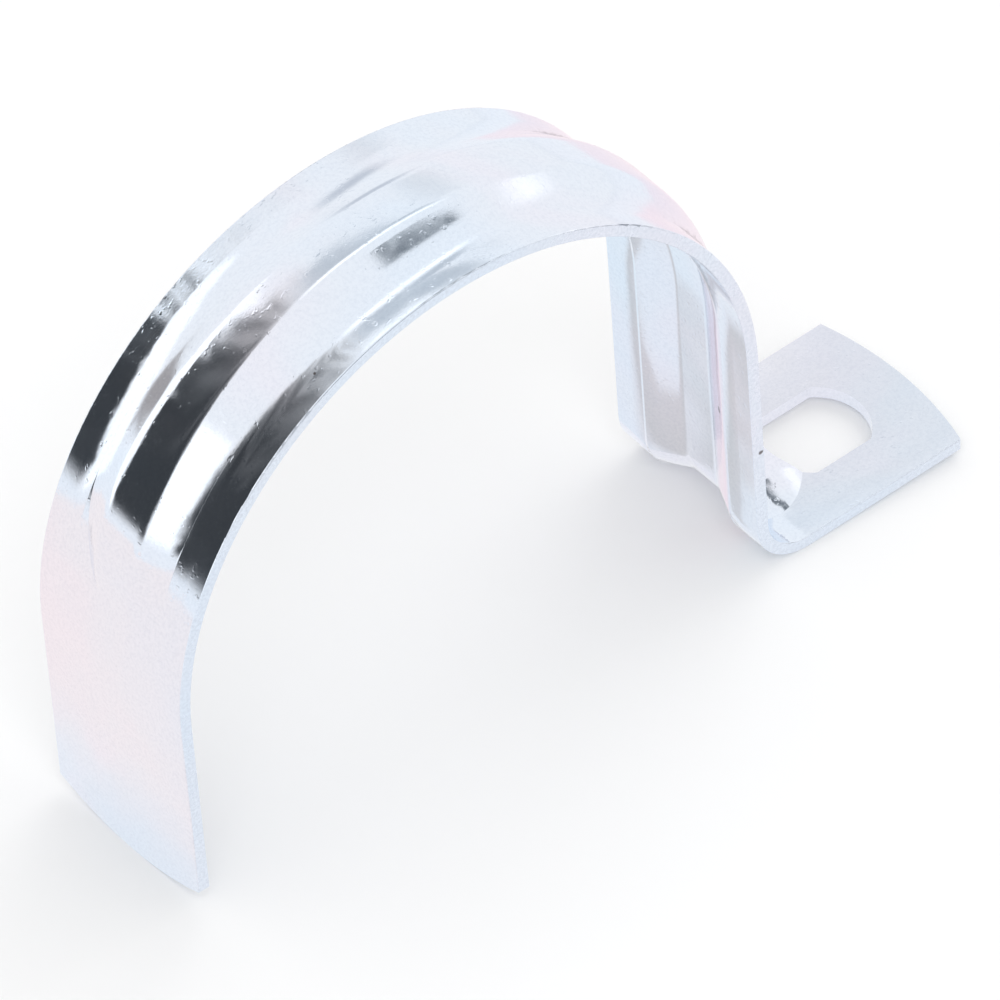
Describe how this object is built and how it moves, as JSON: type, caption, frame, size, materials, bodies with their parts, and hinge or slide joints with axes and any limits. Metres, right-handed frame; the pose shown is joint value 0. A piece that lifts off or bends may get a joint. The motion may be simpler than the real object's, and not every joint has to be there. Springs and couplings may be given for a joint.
{
  "type": "conduit strap",
  "caption": "Conduit strap pressed from zinc-plated strip: a half-round ribbed saddle, a plain free leg, and a leg that turns out into a foot with a slot for the fixing screw.",
  "frame": {"origin": "on the axis of the saddle, at the middle of the strip's width", "axes": "+X from the free leg towards the foot, +Y along the conduit, +Z from the wall towards the top of the saddle"},
  "size_m": [0.0875, 0.0186, 0.0572],
  "materials": {
    "zinc_plate": "bright zinc plate with a faint blue cast, smooth rolled faces and plainer sheared edges"
  },
  "bodies": {
    "root": {"strap": "zinc_plate"}
  },
  "joints": []
}
